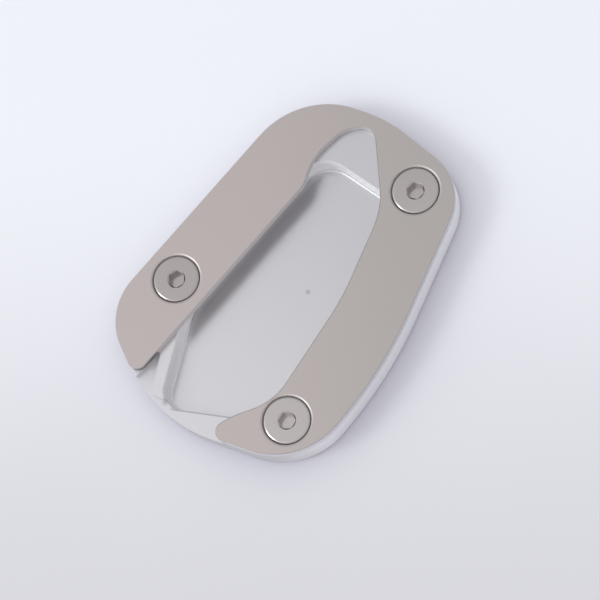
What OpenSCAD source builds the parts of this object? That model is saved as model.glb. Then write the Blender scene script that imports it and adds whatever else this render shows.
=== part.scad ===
/* [Pad outline] */
// Width of the pad between its two sides
pad_w = 67.4; // [64:0.2:74]
// Length of the pad from heel to toe
pad_l = 93.6; // [90:0.2:104]
// Height at which the left side turns into the heel, above the heel end
heel_left_rise = 9.5; // [8:0.5:12]
// Radius of the left heel corner
heel_left_r = 16; // [10:0.5:18]
// Sideways place of the blunt point of the heel
heel_point_x = -4.7; // [-8:0.1:0]
// How far the sharp heel point would stand past the rounded heel end
heel_point_drop = 3; // [2.5:0.1:3.5]
// Radius of the blunt heel point
heel_point_r = 38; // [30:1:42]
// Height of the right heel corner above the heel end
heel_right_rise = 11.8; // [10:0.2:16]
// Radius of the right heel corner
heel_right_r = 20; // [14:0.5:21]
// How far the sharp right heel corner would stand past the side
heel_right_flare = 0.6; // [0:0.1:1.2]
// Inset of the bend in the right side
flank_inset = 0.8; // [0.4:0.1:3]
// Place of the bend in the right side, below the middle of the pad
flank_drop = 1.7; // [-4:0.1:6]
// Radius of the bend in the right side
flank_r = 110; // [60:5:120]
// Inset of the right toe corner from the right side
toe_right_inset = 16.3; // [14:0.1:18]
// Radius of the right toe corner
toe_right_r = 15; // [10:0.5:17]
// Place where the straight toe end turns down, left of the middle
toe_bend_x = 9.9; // [8:0.1:12]
// Radius of that bend
toe_bend_r = 37; // [25:1:38]
// Height lost from that bend to the left toe corner
toe_left_drop = 7.9; // [7:0.1:10]
// Radius of the left toe corner
toe_left_r = 22; // [16:0.5:23]

/* [Base plate] */
// Height of the base plate
base_h = 7.5; // [6.5:0.1:10]
// Chamfer round the top edge of the base plate
base_top_c = 0.3; // [0.1:0.05:0.5]
// Chamfer round the bottom edge of the base plate
base_foot_c = 0.6; // [0.2:0.1:0.9]

/* [Foot pocket] */
// Depth of the pocket that takes the foot of the stand
pocket_depth = 5.5; // [3:0.1:5.6]
// Radius that the milling cutter leaves round the pocket floor
pocket_floor_r = 1; // [0.5:0.1:1.5]
// Chamfer round the mouth of the pocket
pocket_top_c = 0.25; // [0.1:0.05:0.4]
// Wall between the pocket and the left side
pocket_left_wall = 14.9; // [14:0.1:16]
// Wall between the pocket and the toe end, at the left
pocket_toe_wall = 17; // [15.5:0.1:19]
// Wall between the pocket and the right side, at the bend
pocket_right_wall = 17.4; // [16.5:0.1:18]
// Radius of the left toe corner of the pocket
pocket_toe_r = 8; // [5:0.2:9]
// Radius of the pocket corner at the mouth
pocket_mouth_r = 5; // [3:0.2:5.6]
// Depth of the lowered step that the mouth opens on
mouth_step = 1.5; // [0.5:0.1:2.5]

/* [Clamp plate] */
// Thickness of the clamp plate
clamp_t = 2; // [1.5:0.1:3]
// Chamfer round the edges of the clamp plate
clamp_c = 0.2; // [0.1:0.05:0.4]
// Width of the left arm
arm_left_w = 18.3; // [17.5:0.1:19]
// Radius of the tip of the left arm
tip_left_r = 2.6; // [2:0.2:5]
// Radius of the tip of the right arm
tip_right_r = 2.6; // [1.5:0.1:3]
// Place of the tip of the right arm, in from the right side
tip_right_inset = 25.3; // [24.5:0.1:26]
// Width of the bridge between the toe end and the opening
bridge_w = 3.3; // [2.5:0.1:5]
// How far the left arm stands out over the lowered step
arm_overhang = 0.5; // [0.3:0.1:1]

/* [Screws] */
// Nominal diameter of the screw thread
thread_d = 6; // [5:0.5:6.5]
// Diameter of the countersunk head
head_d = 12; // [11:0.1:12.2]
// Length of a screw, head and all
screw_l = 8; // [6:0.5:9]
// Width across the flats of the hex socket
socket_af = 4; // [3:0.5:5]
// Depth of the hex socket
socket_depth = 2.4; // [1.5:0.1:3]
// Depth of a screw head below the face of the clamp plate
head_sink = 0.1; // [0:0.05:0.2]
// Inset of the left screw from the left side
screw_left_inset = 9.1; // [8.6:0.1:9.6]
// Height of the left screw above the heel end
screw_left_rise = 27.5; // [20:0.1:30]
// Inset of the toe screw from the toe end
screw_toe_inset = 9.8; // [9:0.1:10.5]
// Place of the toe screw, in from the right side
screw_toe_side = 25.3; // [25:0.1:26]
// Inset of the heel screw from the right side
screw_right_inset = 10.7; // [10:0.1:11]
// Height of the heel screw above the heel end
screw_right_rise = 18.5; // [18:0.1:22]

/* [Fits] */
// Diameter of a countersink where it leaves the clamp plate
sink_d = 12.8; // [12.6:0.1:13.4]
// Depth of the straight wall at the top of a countersink
sink_wall = 0.4; // [0.3:0.05:0.8]
// Play round each screw thread
thread_play = 0.05; // [0.02:0.01:0.2]
// Play between a screw head and its countersink
head_play = 0.03; // [0.01:0.01:0.1]

/* [Hidden] */
$fn = 96;
half_w = pad_w / 2;
half_l = pad_l / 2;
total_h = base_h + clamp_t;
floor_z = base_h - pocket_depth;
past = 1;
lap = 0.5;
plate_rim = 1.5;
pocket_rim = pocket_floor_r + 2 * lap;
deg = 180 / PI;
arc_step = 5;
chord_l = 2.5;
arc_share = 0.98;
hole_r = thread_d / 2 + thread_play;
hole_foot_c = 0.4;
sink_r = sink_d / 2;
head_r = head_d / 2;
thread_r = thread_d / 2;
head_edge_r = 0.25;
edge_step = 30;
fillet_step = 15;
end_c = 0.6;
socket_r = socket_af / sqrt(3);
socket_c = 0.1;

// Corners are [x, y, radius], counterclockwise seen from above
heel_left = [-half_w, -half_l + heel_left_rise, heel_left_r];
heel_point = [heel_point_x, -half_l - heel_point_drop, heel_point_r];
heel_right = [half_w + heel_right_flare, -half_l + heel_right_rise, heel_right_r];
flank = [half_w - flank_inset, -flank_drop, flank_r];
toe_right = [half_w - toe_right_inset, half_l, toe_right_r];
toe_bend = [-toe_bend_x, half_l, toe_bend_r];
toe_left = [-half_w, half_l - toe_left_drop, toe_left_r];
pad_outline = eased([heel_left, heel_point, heel_right, flank, toe_right, toe_bend, toe_left]);

// A corner [across, along, radius] placed from one end of the pad
function from_toe(x, c) = [x + c[0], half_l - c[1], c[2]];
function from_heel(x, c) = [x + c[0], -half_l + c[1], c[2]];

// The opening of the clamp plate, from the left arm over the bridge to the right arm
arm_left_x = -half_w + arm_left_w;
tip_right_x = half_w - tip_right_inset;
tip_left = [arm_left_x, height_on(heel_left, heel_point, arm_left_x), tip_left_r];
tip_right = [tip_right_x, height_on(heel_point, heel_right, tip_right_x), tip_right_r];
arm_bend = [0, 26.4, 8];
jog_bend = [-3.2, 20.2, 15];
bay_bend = [-1.9, 9, 8.6];
peak_bend = [3.7, bridge_w, 4];
shoulder_bend = [-28.9, 18.8, 21];
waist_bend = [-21, 42.8, 70];
hip_bend = [-16.6, 19.9, 16];
foot_bend = [-22.3, 10.5, 19];
opening = concat(
  [for (c = [arm_bend, jog_bend, bay_bend, peak_bend]) from_toe(arm_left_x, c)],
  [for (c = [shoulder_bend, waist_bend]) from_toe(half_w, c)],
  [for (c = [hip_bend, foot_bend]) from_heel(half_w, c)]
);
clamp_outline = eased(concat(
  [heel_left, tip_left], opening, [tip_right, heel_right, flank, toe_right, toe_bend, toe_left]
));

// The pocket, from its corner at the mouth
pocket_left_x = -half_w + pocket_left_wall;
pocket_mouth = [27.7, 0.1, pocket_mouth_r];
pocket_heel = [-15.9, 14.8, 8];
pocket_waist = [-pocket_right_wall, 44.8, 80];
pocket_shoulder = [-25.2, pocket_toe_wall - 2.4, 5];
pocket_toe = [0, pocket_toe_wall, pocket_toe_r];
pocket_bend = [0, 24.6, 15];
pocket_outline = eased([
  from_heel(-half_w, pocket_mouth),
  from_heel(half_w, pocket_heel),
  from_toe(half_w, pocket_waist),
  from_toe(half_w, pocket_shoulder),
  from_toe(pocket_left_x, pocket_toe),
  from_heel(pocket_left_x, pocket_bend)
]);

// The lowered land between the arms, which leaves a ridge along the pocket
land_past = 6;
land_left = arm_left_w - arm_overhang;
ridge_top = [land_left, 12, 0.5];
land_out = [land_left, -land_past, 1];
land_end = [47.7, -land_past, 1];
land_lip = [47.7, 13.8, 1];
ridge_right = [29.9, 2.9, 1];
ridge_left = [24.1, 1.2, 1];
land = [ridge_top, land_out, land_end, land_lip, ridge_right, ridge_left];
step_outline = eased([for (c = land) from_heel(-half_w, c)]);

// Each screw is [x, y, turn of its socket]
left_screw = [-half_w + screw_left_inset, -half_l + screw_left_rise, 10];
toe_screw = [half_w - screw_toe_side, half_l - screw_toe_inset, 25];
heel_screw = [half_w - screw_right_inset, -half_l + screw_right_rise, 41];
screws = [left_screw, toe_screw, heel_screw];

// Plan geometry of an outline with rounded corners
function unit(v) = v / norm(v);
function flat(p) = [p.x, p.y];
function left_of(v) = [-v.y, v.x];
function height_on(a, b, x) = a.y + (b.y - a.y) * (x - a.x) / (b.x - a.x);
function corner(c, i) = c[(i + len(c)) % len(c)];
function way_in(c, i) = unit(flat(corner(c, i)) - flat(corner(c, i - 1)));
function way_out(c, i) = way_in(c, i + 1);
function turn(c, i) =
  atan2(left_of(way_in(c, i)) * way_out(c, i), way_in(c, i) * way_out(c, i));
function side(c, i) = sign(turn(c, i));
function reach(c, i) = corner(c, i)[2] * tan(abs(turn(c, i)) / 2);
// Where the arcs of two neighbouring corners would meet, both radii shrink to fit the side between them
function side_l(c, i) = norm(flat(corner(c, i + 1)) - flat(corner(c, i)));
function room(c, i) = min(1, arc_share * side_l(c, i) / (reach(c, i) + reach(c, i + 1)));
function eased(c) = [for (i = [0 : len(c) - 1]) [c[i].x, c[i].y, c[i][2] * min(room(c, i - 1), room(c, i))]];
function arc_start(c, i) = flat(corner(c, i)) - way_in(c, i) * reach(c, i);
function arc_end(c, i) = flat(corner(c, i)) + way_out(c, i) * reach(c, i);
function centre(c, i) = arc_start(c, i) + left_of(way_in(c, i)) * side(c, i) * corner(c, i)[2];
function steps(c, i) =
  ceil(max(abs(turn(c, i)) / arc_step, corner(c, i)[2] * abs(turn(c, i)) / deg / chord_l));
// The points of an outline that is drawn in by d
function loop(c, d = 0) = [
  for (i = [0 : len(c) - 1])
    let (spoke = arc_start(c, i) - centre(c, i))
    let (from = atan2(spoke.y, spoke.x), r = corner(c, i)[2] - side(c, i) * d)
      for (k = [0 : steps(c, i)])
        let (a = from + turn(c, i) * k / steps(c, i)) centre(c, i) + r * [cos(a), sin(a)]
];

// A solid on an outline, with [drawn in, height] pairs for its side, from the bottom up:
// a shaped rim of the given width round a straight core
module loft(c, section, rim) {
  n = len(loop(c));
  foot = section[0][1];
  head = section[len(section) - 1][1];
  rows = concat([[rim, foot]], section, [[rim, head]]);
  m = len(rows);
  polyhedron(
    points = [for (s = rows) for (p = loop(c, s[0])) [p.x, p.y, s[1]]],
    faces = [for (j = [0 : m - 1]) for (k = [0 : n - 1])
      [j * n + k, (j + 1) % m * n + k, (j + 1) % m * n + (k + 1) % n, j * n + (k + 1) % n]]
  );
  translate([0, 0, foot]) linear_extrude(head - foot) polygon(loop(c, rim - lap));
}

// A flat plate with a chamfer round its lower and its upper edge
module edged_plate(c, h, foot_c, top_c) {
  loft(c, [[foot_c, 0], [0, foot_c], [0, h - top_c], [top_c, h]], plate_rim);
}

// The space cut for the foot: floor fillet, upright wall and chamfered mouth
module foot_pocket() {
  fillet = [
    for (a = [0 : fillet_step : 90]) [(1 - sin(a)) * pocket_floor_r, floor_z + (1 - cos(a)) * pocket_floor_r]
  ];
  wall = [[0, base_h - pocket_top_c], [-pocket_top_c - past, base_h + past]];
  loft(pocket_outline, concat(fillet, wall), pocket_rim);
}

// The lowered land that the mouth of the pocket opens on
module lowered_mouth() {
  translate([0, 0, base_h - mouth_step]) linear_extrude(mouth_step + past) polygon(loop(step_outline));
}

// What a screw needs cut out, with the top of the clamp plate at height zero
module screw_hole() {
  rotate_extrude() polygon([
    [0, past], [sink_r, past], [sink_r, -sink_wall], [hole_r, hole_r - sink_r - sink_wall],
    [hole_r, hole_foot_c - total_h],
    [hole_r + hole_foot_c + past, -total_h - past], [0, -total_h - past]
  ]);
}

module at_screws() {
  for (s = screws) translate([s.x, s.y, total_h]) rotate(s[2]) children();
}

module base_plate() color([0.78, 0.79, 0.80]) {
  difference() {
    edged_plate(pad_outline, base_h, base_foot_c, base_top_c);
    foot_pocket();
    lowered_mouth();
    at_screws() screw_hole();
  }
}

module clamp_plate() color([0.71, 0.68, 0.67]) {
  difference() {
    translate([0, 0, base_h]) edged_plate(clamp_outline, clamp_t, clamp_c, clamp_c);
    at_screws() screw_hole();
  }
}

// A countersunk screw, with the top of its head at height zero
module screw() {
  rim_h = sink_wall + sink_r - head_r - head_play - head_sink;
  edge = [
    for (a = [90 : -edge_step : 0]) [head_r - head_edge_r * (1 - cos(a)), head_edge_r * (sin(a) - 1)]
  ];
  difference() {
    rotate_extrude() polygon(concat([[0, 0]], edge, [
      [head_r, -rim_h], [thread_r, thread_r - head_r - rim_h],
      [thread_r, end_c - screw_l], [thread_r - end_c, -screw_l], [0, -screw_l]
    ]));
    translate([0, 0, -socket_depth]) cylinder(h = socket_depth + past, r = socket_r, $fn = 6);
    rotate_extrude() polygon([
      [0, past], [socket_r + socket_c + past, past],
      [socket_r - past, -past - socket_c], [0, -past - socket_c]
    ]);
  }
}

module clamp_screws() color([0.70, 0.68, 0.67]) {
  at_screws() translate([0, 0, -head_sink]) screw();
}

base_plate();
clamp_plate();
clamp_screws();
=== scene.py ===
"""A kickstand foot enlarger lying on a pale table under soft light from the left."""

import math

import bpy
from mathutils import Matrix, Vector


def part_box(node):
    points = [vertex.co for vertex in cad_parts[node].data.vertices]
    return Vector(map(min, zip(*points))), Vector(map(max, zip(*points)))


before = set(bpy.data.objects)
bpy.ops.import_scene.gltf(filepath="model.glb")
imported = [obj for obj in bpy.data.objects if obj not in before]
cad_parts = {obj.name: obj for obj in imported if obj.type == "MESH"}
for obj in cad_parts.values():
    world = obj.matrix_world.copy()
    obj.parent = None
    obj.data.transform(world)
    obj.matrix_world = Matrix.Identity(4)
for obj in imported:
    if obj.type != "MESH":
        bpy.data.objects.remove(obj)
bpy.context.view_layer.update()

MM = 0.001

# Heights of the underside of the pad and of the face of the clamp plate
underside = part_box("base_plate")[0].z
clamp_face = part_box("clamp_plate")[1].z

# Camera: a long lens looking steeply down, turned so that the toe points up and right
CAMERA_LENS = 158.4
CAMERA_SENSOR = 36.0
CAMERA_DISTANCE = 666.67 * MM
CAMERA_TILT = math.radians(20.5)
CAMERA_TURN = math.radians(-11.08)
CAMERA_ROLL = math.radians(38.30)
CAMERA_AIM = Vector((4.6 * MM, -3.07 * MM, clamp_face))

# Key lamp: the way it comes from, seen from above and from the side, with its size and power
KEY_TURN = math.radians(-120.0)
KEY_RISE = math.radians(42.0)
KEY_DISTANCE = 2.0
KEY_SIZE = 0.7
KEY_POWER = 8.0
KEY_COLOUR = (0.94, 0.98, 1.0)

# Soft light of the room, with a wide glow round the key lamp
ROOM_COLOUR = (0.965, 0.962, 1.0)
ROOM_LEVEL = 0.74
GLOW_LEVEL = 1.16
GLOW_REACH = math.radians(60.0)

# Table: half its width, how far the painted shade round the part reaches, how open to the sky it is
# where that shade is darkest and where it ends, and the hair's breadth that it lies below the part
TABLE_REACH = 3.0
CONTACT_REACH = 20 * MM
CONTACT_SKY = (0.3, 1.0)
TABLE_GAP = 0.01 * MM

# Ways on the plan: to the back of the table, across the clamp plate, and along which the screws get paler;
# the clamp plate's scratches run along the first and the last
FAR_TURN = math.radians(130.6)
ACROSS_TURN = math.radians(40.6)
PALER_TURN = math.radians(-10.0)

# Stretches of those ways, and of the pad's length, over which a finish changes its tone;
# the pad's tones are painted light and shade
TABLE_STRETCH = (-80 * MM, 60 * MM)
CLAMP_STRETCH = (-8 * MM, 36 * MM)
SCREW_STRETCH = (-25 * MM, 30 * MM)
PAD_STRETCH = (-45 * MM, 50 * MM)
HEEL_STRETCH = (-34 * MM, -18 * MM)

# How far soft clouds move the borders of those tones
TABLE_DRIFT = 20 * MM
CLAMP_DRIFT = 10 * MM
PAD_DRIFT = 12 * MM

# How level a face is where a wall's painted light and shade, its satin or the painted light
# on the clamp's edge starts to fade and where it is gone
WALL_LIGHT_AND_SHADE = (0.3, 0.9)
WALL_SATIN = (0.85, 0.99)
EDGE_PAINTED_LIGHT = (0.2, 0.6)

# Distances from the middle to the planes of walls: those of the pocket and of the clamp's opening
# stay under the first of a pair, and those of the outline stay over the second
POCKET_PLANES = (2 * MM, 8 * MM)
CLAMP_PLANES = (24 * MM, 30 * MM)

# Screws and their countersinks; no point of a screw is farther than the spread from another point of it
SCREW_SPREAD = 14 * MM
SINK_RADIUS = 6.4 * MM
SINK_LIP = 0.38 * MM
HEAD_RADIUS = 6.0 * MM
HEAD_ROUND = 0.25 * MM
HEAD_LIP = 0.16 * MM
LIP_SLOPE = 0.38

# The painted light on a countersink's wall ends just outside its radius, and the painted shade
# on a head's side starts just inside the head's
SINK_BORDER = (SINK_RADIUS + 0.06 * MM, SINK_RADIUS + 0.02 * MM)
HEAD_BORDER = (HEAD_RADIUS - 0.03 * MM, HEAD_RADIUS - 0.01 * MM)

# Levels of the base plate: the floor of the pocket and the lowered land at its mouth
FLOOR_LEVEL = 2.0 * MM
LAND_LEVEL = 6.0 * MM

# Painted shade as a line along the inner edge of the land and as a spot at the ridge's corner,
# and a stain in a pit of the floor
MOUTH_EDGE = Vector((-6.0, -46.7)) * MM, Vector((17.8, -32.0)) * MM
MOUTH_LINE = 0.50 * MM
RIDGE_CORNER = Vector((-5.7, -44.8)) * MM
RIDGE_SPOT = 1.3 * MM
FLOOR_PIT = Vector((2.05, 0.36)) * MM
PIT_RADIUS = 0.9 * MM
LINE_STRENGTH = 0.45
SPOT_STRENGTH = 0.40
PIT_STRENGTH = 0.35

# End of the left arm, where shade is painted on its edge and lifted by painted light on the land below,
# and how far that paint reaches
ARM_TIP = Vector((-14.6, -41.5)) * MM
TIP_REACH = 6 * MM

# Fine texture; scratches show where a soft noise passes the values of the step
SCRATCH_STEP = (0.68, 0.73)
SCRATCH_DEPTH = 0.001 * MM
RING_PITCH = 0.25 * MM
RING_DEPTH = 0.00015 * MM
GRAIN_DEPTH = 0.0005 * MM
BLAST_DEPTH = 0.0008 * MM

# Shading: points closer than the distance are joined, edges sharper than the angle stay crisp,
# and flat faces outweigh the rounds beside them
SMOOTH_ANGLE = math.radians(34.0)
WELD_DISTANCE = 0.002 * MM
FLAT_WEIGHT = 100


class Field:
    """A value that changes over a surface, used in plain arithmetic."""

    def __init__(self, nodes, socket):
        self.nodes = nodes
        self.socket = socket

    def maths(self, operation, *values):
        return self.nodes.node("ShaderNodeMath", {"operation": operation}, dict(enumerate(values)))

    def __add__(self, other):
        return self.maths("ADD", self, other)

    def __radd__(self, other):
        return self.maths("ADD", other, self)

    def __sub__(self, other):
        return self.maths("SUBTRACT", self, other)

    def __rsub__(self, other):
        return self.maths("SUBTRACT", other, self)

    def __mul__(self, other):
        return self.maths("MULTIPLY", self, other)

    def __rmul__(self, other):
        return self.maths("MULTIPLY", other, self)

    def least(self, other):
        return self.maths("MINIMUM", self, other)

    def most(self, other):
        return self.maths("MAXIMUM", self, other)

    def unsigned(self):
        return self.maths("ABSOLUTE", self)

    def sine(self):
        return self.maths("SINE", self)


class Nodes:
    """A tree whose nodes all come from one method."""

    def __init__(self, tree):
        self.tree = tree
        self.tree.nodes.clear()

    def node(self, kind, settings=None, inputs=None, output=0):
        """Adds one node: its settings first, then the values or links of its sockets."""
        made = self.tree.nodes.new(kind)
        for name, value in (settings or {}).items():
            setattr(made, name, value)
        for name, value in (inputs or {}).items():
            if isinstance(value, Field):
                self.tree.links.new(value.socket, made.inputs[name])
            else:
                made.inputs[name].default_value = value
        return Field(self, made.outputs[output] if made.outputs else None)


class Finish(Nodes):
    """The nodes of one material, or of the room; all lengths are in metres."""

    def __init__(self, owner):
        owner.use_nodes = True
        super().__init__(owner.node_tree)
        self.owner = owner

    def place(self):
        """Where a point lies on the part."""
        return self.node("ShaderNodeTexCoord", output="Object")

    def facing(self):
        """The way that a surface faces."""
        return self.node("ShaderNodeNewGeometry", output="Normal")

    def height_of(self, vector):
        """The upright part of a vector."""
        return self.node("ShaderNodeSeparateXYZ", inputs={"Vector": vector}, output="Z")

    def upward(self):
        """How far a surface faces up: 1 on a level face, 0 on a wall and -1 on the underside."""
        return self.height_of(self.facing())

    def height(self):
        """How high a point lies above the underside."""
        return self.height_of(self.place())

    def measure(self, operation, first, second):
        """A number made from two vectors, such as their distance."""
        return self.node("ShaderNodeVectorMath", {"operation": operation}, {0: first, 1: second}, "Value")

    def outward(self):
        """Distance from the middle to the plane of a surface, negative where it faces inward."""
        return self.measure("DOT_PRODUCT", self.facing(), self.place())

    def along(self, way):
        """How far a point lies along a way."""
        return self.measure("DOT_PRODUCT", self.place(), way)

    def away(self, spot):
        """Distance from a spot on the plan."""
        return self.measure("DISTANCE", self.stretched((1.0, 1.0, 0.0)), (*spot, 0.0))

    def off_axis(self):
        """Distance from the nearest screw's axis."""
        first, *others = [self.away(spot) for spot in screw_places()]
        for other in others:
            first = first.least(other)
        return first

    def stretched(self, scale):
        """Places on the part with each axis multiplied."""
        return self.node("ShaderNodeVectorMath", {"operation": "MULTIPLY"}, {0: self.place(), 1: scale})

    def noise(self, size, detail, roughness=0.5, vector=None):
        """Soft random values from 0 to 1 in patches of about the given size."""
        patches = {"Scale": 1.0 / size, "Detail": detail, "Roughness": roughness}
        return self.node("ShaderNodeTexNoise", inputs={"Vector": vector or self.place(), **patches})

    def hairlines(self, turn, length, width):
        """Fine scratches along one way of the plan: 1 on them and 0 beside them."""
        lengthwise = self.along(direction(turn, 0.0)) * (width / length)
        crosswise = self.along(direction(turn + math.pi / 2, 0.0))
        spot = self.node("ShaderNodeCombineXYZ", inputs={"X": lengthwise, "Y": crosswise})
        return self.ramp(self.noise(width, detail=1, vector=spot), *SCRATCH_STEP)

    def rings(self, pitch):
        """Waves from -1 to 1 round each screw's axis, as a turning tool leaves them."""
        return (self.off_axis() * (2 * math.pi / pitch)).sine()

    def ramp(self, value, low, high):
        """Goes smoothly from 0 to 1 while the value goes from low to high."""
        inputs = {"Value": value, "From Min": low, "From Max": high}
        return self.node("ShaderNodeMapRange", {"interpolation_type": "SMOOTHSTEP"}, inputs)

    def band(self, value, low, high, soft):
        """1 while the value is between low and high, with a soft border on each side."""
        return self.ramp(value, low - soft, low) * self.ramp(value, high + soft, high)

    def blend(self, factor, first, second):
        """One colour turning into another."""
        return self.node("ShaderNodeMix", {"data_type": "RGBA"}, {0: factor, 6: first, 7: second}, output=2)

    def bump(self, height):
        """Normals of a surface that rises by the given height."""
        return self.node("ShaderNodeBump", inputs={"Height": height, "Strength": 1.0, "Distance": 1.0})

    def surface(self, **inputs):
        """Ends the tree in one glossy surface with the given sockets."""
        named = {name.replace("_", " "): value for name, value in inputs.items()}
        shader = self.node("ShaderNodeBsdfPrincipled", inputs=named)
        self.node("ShaderNodeOutputMaterial", inputs={"Surface": shader})
        return self.owner


def screw_places():
    """Where the axis of each screw stands on the plan: the middle of its points."""
    groups = []
    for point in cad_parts["clamp_screws"].data.vertices:
        spot = point.co.xy
        near = [group for group in groups if (group[0] - spot).length < SCREW_SPREAD]
        if near:
            near[0].append(spot)
        else:
            groups.append([spot])
    return [middle(group) for group in groups]


def middle(spots):
    """Middle of the box round some points of the plan."""
    xs, ys = zip(*spots)
    return ((min(xs) + max(xs)) / 2, (min(ys) + max(ys)) / 2)


def finish_named(name):
    """A new material, ready for its nodes."""
    return Finish(bpy.data.materials.new(name))


def aluminium():
    """Silver anodised aluminium of the base plate, milled and lightly blasted."""
    finish = finish_named("silver_anodised_aluminium")
    pale = (0.705, 0.697, 0.707, 1.0)
    grey = (0.615, 0.615, 0.63, 1.0)
    # Painted light and shade on the walls: dark outside at the heel, pale elsewhere, palest deep in the
    # pocket
    heel_wall_painted_shade = (0.58, 0.575, 0.58, 1.0)
    side_wall_painted_light = (0.91, 0.905, 0.915, 1.0)
    ridge_wall_painted_light = (0.84, 0.835, 0.845, 1.0)
    pocket_wall_painted_light = (0.97, 0.965, 0.975, 1.0)
    tip_land_painted_light = (0.67, 0.665, 0.68, 1.0)
    stain_and_painted_shade = (0.16, 0.16, 0.18, 1.0)
    cloud = finish.noise(size=14 * MM, detail=3)
    grain = finish.noise(size=0.35 * MM, detail=3, roughness=0.6)
    level = finish.upward().unsigned()
    on_wall = 1 - finish.ramp(level, *WALL_SATIN)
    in_pocket = 1 - finish.ramp(finish.outward(), *POCKET_PLANES)
    toe = finish.along((0.0, 1.0, 0.0)) + PAD_DRIFT * cloud
    past_heel = finish.ramp(toe, *HEEL_STRETCH)
    outer_wall_light_and_shade = finish.blend(past_heel, heel_wall_painted_shade, side_wall_painted_light)
    inner_wall_painted_light = finish.blend(past_heel, ridge_wall_painted_light, pocket_wall_painted_light)
    wall_painted_light_and_shade = finish.blend(in_pocket, outer_wall_light_and_shade, inner_wall_painted_light)
    # Painted light: the faces are paler towards the heel and greyer towards the toe
    face_painted_light = finish.blend(finish.ramp(toe, *PAD_STRETCH), pale, grey)
    colour = finish.blend(finish.ramp(level, *WALL_LIGHT_AND_SHADE), wall_painted_light_and_shade, face_painted_light)
    # Painted light by the left arm's tip: a flat tone on the land lifts the shade under the arm
    by_tip = finish.ramp(finish.away(ARM_TIP), TIP_REACH, 0.4 * TIP_REACH) * above_floor(finish)
    colour = finish.blend(by_tip, colour, tip_land_painted_light)
    # Painted shade along the mouth and at the ridge's corner, and a stain in one pit of the floor
    colour = finish.blend(painted_shade_and_pit(finish), colour, stain_and_painted_shade)
    return finish.surface(
        Base_Color=colour,
        Metallic=0.85 - (on_wall * (0.45 + 0.30 * in_pocket)).most(0.75 * by_tip),
        Roughness=0.20 + 0.06 * grain + 0.04 * cloud + 0.20 * (1 - level).most(by_tip),
        Normal=finish.bump(grain * BLAST_DEPTH),
    )


def above_floor(finish):
    """1 at the height of the lowered land and over it, 0 at the floor of the pocket."""
    return finish.ramp(finish.height(), FLOOR_LEVEL + 1 * MM, LAND_LEVEL - 1 * MM)


def painted_shade_and_pit(finish):
    """Painted shade along the mouth and at the ridge's corner, and a stain in one pit."""
    start, end = MOUTH_EDGE
    length = (end - start).length
    way = (end - start) / length
    across = Vector((-way.y, way.x))
    inside = finish.along((*across, 0.0)) - start.dot(across)
    reach = finish.along((*way, 0.0)) - start.dot(way)
    height = finish.height()
    line = finish.ramp(inside, -MOUTH_LINE, -0.4 * MOUTH_LINE)
    line = line * finish.ramp(inside, 2 * MOUTH_LINE, MOUTH_LINE)
    line = line * finish.band(reach, 4 * MM, length - 2 * MM, soft=2 * MM)
    line = line * finish.band(height, LAND_LEVEL - 0.2 * MM, LAND_LEVEL + 0.1 * MM, soft=0.2 * MM)
    spot = finish.ramp(finish.away(RIDGE_CORNER), RIDGE_SPOT, 0.0) * above_floor(finish)
    pit = finish.ramp(finish.away(FLOOR_PIT), PIT_RADIUS, 0.3 * PIT_RADIUS)
    pit = pit * finish.band(height, FLOOR_LEVEL - 0.1 * MM, FLOOR_LEVEL + 0.1 * MM, soft=0.4 * MM)
    return (LINE_STRENGTH * line).most(SPOT_STRENGTH * spot).most(PIT_STRENGTH * pit)


def steel():
    """Satin stainless steel of the clamp plate."""
    finish = finish_named("satin_stainless_steel")
    rosy = (0.545, 0.490, 0.467, 1.0)
    olive = (0.495, 0.464, 0.436, 1.0)
    # Painted reflection of the table on the outer edge, and painted light on the inner edge
    outer_edge_painted_reflection = (0.80, 0.80, 0.84, 1.0)
    inner_edge_painted_light = (0.72, 0.70, 0.695, 1.0)
    # Painted light on the countersinks' walls, which lifts the shade in the gaps round the heads
    sink_wall_painted_light = (0.80, 0.80, 0.83, 1.0)
    # Painted shade on the clamp's edge by the left arm's tip
    tip_edge_painted_shade = (0.28, 0.28, 0.29, 1.0)
    cloud = finish.noise(size=20 * MM, detail=2)
    grain = finish.noise(size=0.25 * MM, detail=3, roughness=0.6, vector=finish.stretched((1.0, 0.12, 1.0)))
    side = finish.along(direction(ACROSS_TURN, 0.0)) + CLAMP_DRIFT * cloud
    face = finish.blend(finish.ramp(side, *CLAMP_STRETCH), rosy, olive)
    off_axis = finish.off_axis()
    in_sink = finish.ramp(off_axis, *SINK_BORDER)
    edge = finish.blend(finish.ramp(finish.outward(), *CLAMP_PLANES), inner_edge_painted_light, outer_edge_painted_reflection)
    edge = finish.blend(finish.ramp(finish.away(ARM_TIP), TIP_REACH, 0.5 * TIP_REACH), edge, tip_edge_painted_shade)
    edge = finish.blend(in_sink, edge, sink_wall_painted_light)
    lip = (off_axis - (SINK_RADIUS + SINK_LIP)).least(0.0) * LIP_SLOPE
    on_lip = finish.ramp(off_axis, SINK_RADIUS + 1.2 * SINK_LIP, SINK_RADIUS + 0.8 * SINK_LIP)
    long_scratches = finish.hairlines(FAR_TURN, length=14 * MM, width=0.12 * MM)
    scratches = long_scratches.most(finish.hairlines(PALER_TURN, length=8 * MM, width=0.10 * MM))
    return finish.surface(
        Base_Color=finish.blend(finish.ramp(finish.upward(), *EDGE_PAINTED_LIGHT), edge, face),
        Metallic=0.95 - 0.5 * in_sink,
        Roughness=0.28 + 0.08 * grain + 0.08 * scratches + 0.14 * on_lip,
        Normal=finish.bump(lip + grain * GRAIN_DEPTH - scratches * SCRATCH_DEPTH),
    )


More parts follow.
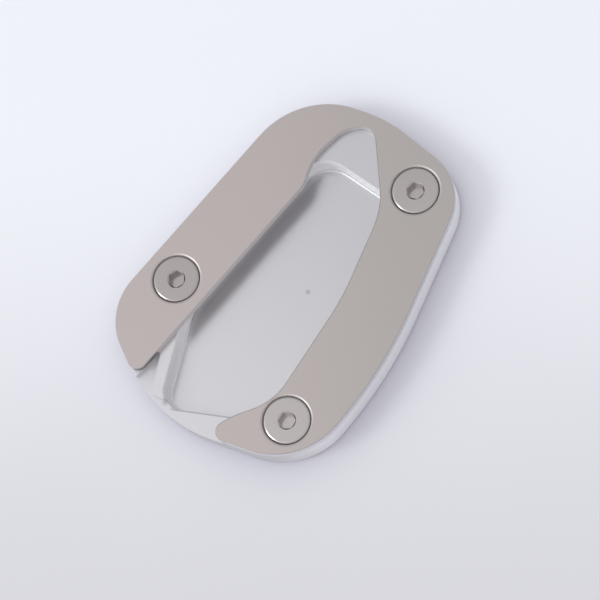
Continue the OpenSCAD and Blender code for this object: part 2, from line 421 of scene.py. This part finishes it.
def screw_steel():
    """Turned stainless steel of the three screws."""
    finish = finish_named("turned_stainless_steel")
    pale = (0.54, 0.505, 0.485, 1.0)
    grey = (0.455, 0.425, 0.405, 1.0)
    # Painted shade on the side of each head, down in its gap
    shade = (0.42, 0.42, 0.44, 1.0)
    grain = finish.noise(size=0.2 * MM, detail=3, roughness=0.6)
    off_axis = finish.off_axis()
    head_side = finish.ramp(off_axis, *HEAD_BORDER)
    tone = finish.ramp(finish.along(direction(PALER_TURN, 0.0)), *SCREW_STRETCH)
    edge = HEAD_RADIUS - HEAD_ROUND
    lip = (off_axis.least(edge) - (edge - HEAD_LIP)).most(0.0) * -LIP_SLOPE
    return finish.surface(
        Base_Color=finish.blend(head_side, finish.blend(tone, grey, pale), shade),
        Metallic=1.0 - 0.5 * head_side,
        Roughness=0.19 + 0.06 * grain,
        Normal=finish.bump(lip + grain * GRAIN_DEPTH + finish.rings(RING_PITCH) * RING_DEPTH),
    )


def table_cloth():
    """Plain pale cover of the table, darker towards the front, with painted shade close to the part."""
    finish = finish_named("pale_table")
    far = (0.91, 0.925, 0.955, 1.0)
    near = (0.725, 0.72, 0.745, 1.0)
    contact_painted_shade = (0.63, 0.62, 0.69, 1.0)
    cloud = finish.noise(size=70 * MM, detail=2)
    depth = finish.along(direction(FAR_TURN, 0.0)) + TABLE_DRIFT * cloud
    colour = finish.blend(finish.ramp(depth, *TABLE_STRETCH), near, far)
    # Painted shade on the table round the part, darkest where the part hides most of the sky
    open_sky = finish.node("ShaderNodeAmbientOcclusion", inputs={"Distance": CONTACT_REACH}, output="AO")
    colour = finish.blend(finish.ramp(open_sky, *CONTACT_SKY), contact_painted_shade, colour)
    return finish.surface(Base_Color=colour, Roughness=0.9, Specular_IOR_Level=0.1)


def smooth_rounds():
    """Modifier nodes that shade rounded stretches smoothly and keep edges crisp."""
    group = bpy.data.node_groups.new("smooth_rounds", "GeometryNodeTree")
    for side in ("INPUT", "OUTPUT"):
        group.interface.new_socket("Geometry", in_out=side, socket_type="NodeSocketGeometry")
    nodes = Nodes(group)
    shape = nodes.node("NodeGroupInput", output="Geometry")
    shape = nodes.node("GeometryNodeMergeByDistance", inputs={"Geometry": shape, "Distance": WELD_DISTANCE})
    shape = nodes.node("GeometryNodeSetShadeSmooth", inputs={"Geometry": shape, "Shade Smooth": True})
    angle = nodes.node("GeometryNodeInputMeshEdgeAngle", output="Unsigned Angle")
    sharp = nodes.node("FunctionNodeCompare", {"operation": "GREATER_THAN"}, {"A": angle, "B": SMOOTH_ANGLE})
    crisp = {"Geometry": shape, "Selection": sharp, "Shade Smooth": False}
    shape = nodes.node("GeometryNodeSetShadeSmooth", {"domain": "EDGE"}, crisp)
    nodes.node("NodeGroupOutput", inputs={"Geometry": shape})
    return group


def dress(node, material, shading):
    """Gives a plate or the screws their finish and their shading."""
    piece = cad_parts[node]
    piece.data.materials.clear()
    piece.data.materials.append(material)
    piece.modifiers.new("smooth_rounds", "NODES").node_group = shading
    weights = piece.modifiers.new("flat_faces_stay_flat", "WEIGHTED_NORMAL")
    weights.weight = FLAT_WEIGHT
    weights.keep_sharp = True


def direction(turn, rise):
    """A unit vector for a turn round the upright axis and a rise above the table."""
    return Vector((math.cos(rise) * math.cos(turn), math.cos(rise) * math.sin(turn), math.sin(rise)))


def key_lamp():
    """A round soft lamp that faces the middle of the part."""
    light = bpy.data.lights.new("key_lamp", "AREA")
    light.shape = "DISK"
    light.size = KEY_SIZE
    light.energy = KEY_POWER
    light.color = KEY_COLOUR
    piece = bpy.data.objects.new("key_lamp", light)
    way = direction(KEY_TURN, KEY_RISE)
    piece.location = way * KEY_DISTANCE
    piece.rotation_euler = way.to_track_quat("Z", "Y").to_euler()
    bpy.context.scene.collection.objects.link(piece)


def room():
    """The soft light of a pale room, brighter on the side of the key lamp."""
    world = bpy.data.worlds.new("pale_room")
    walls = Finish(world)
    ways = walls.node("ShaderNodeTexCoord", output="Generated")
    side = walls.measure("DOT_PRODUCT", ways, direction(KEY_TURN, KEY_RISE))
    plain, bright = [(*(level * part for part in ROOM_COLOUR), 1.0) for level in (ROOM_LEVEL, GLOW_LEVEL)]
    colour = walls.blend(walls.ramp(side, math.cos(GLOW_REACH), 1.0), plain, bright)
    glow = walls.node("ShaderNodeBackground", inputs={"Color": colour, "Strength": 1.0})
    walls.node("ShaderNodeOutputWorld", inputs={"Surface": glow})
    bpy.context.scene.world = world


def table():
    """The plain table under the part."""
    bpy.ops.mesh.primitive_plane_add(size=2 * TABLE_REACH, location=(0, 0, underside - TABLE_GAP))
    top = bpy.context.object
    top.name = "table_top"
    top.data.materials.append(table_cloth())


def camera():
    """The long lens that looks down on the part."""
    lens = bpy.data.cameras.new("camera")
    lens.lens = CAMERA_LENS
    lens.sensor_width = CAMERA_SENSOR
    piece = bpy.data.objects.new("camera", lens)
    toward = direction(CAMERA_TURN, math.pi / 2 - CAMERA_TILT)
    level = Vector((-math.sin(CAMERA_TURN), math.cos(CAMERA_TURN), 0))
    upright = toward.cross(level)
    right = math.cos(CAMERA_ROLL) * level - math.sin(CAMERA_ROLL) * upright
    up = math.sin(CAMERA_ROLL) * level + math.cos(CAMERA_ROLL) * upright
    turn = Matrix((right, up, toward)).transposed()
    piece.matrix_world = Matrix.Translation(CAMERA_AIM + toward * CAMERA_DISTANCE) @ turn.to_4x4()
    bpy.context.scene.collection.objects.link(piece)
    bpy.context.scene.camera = piece


bpy.context.scene.view_settings.view_transform = "Standard"
camera()
table()
room()
key_lamp()
shading = smooth_rounds()
dress("base_plate", aluminium(), shading)
dress("clamp_plate", steel(), shading)
dress("clamp_screws", screw_steel(), shading)
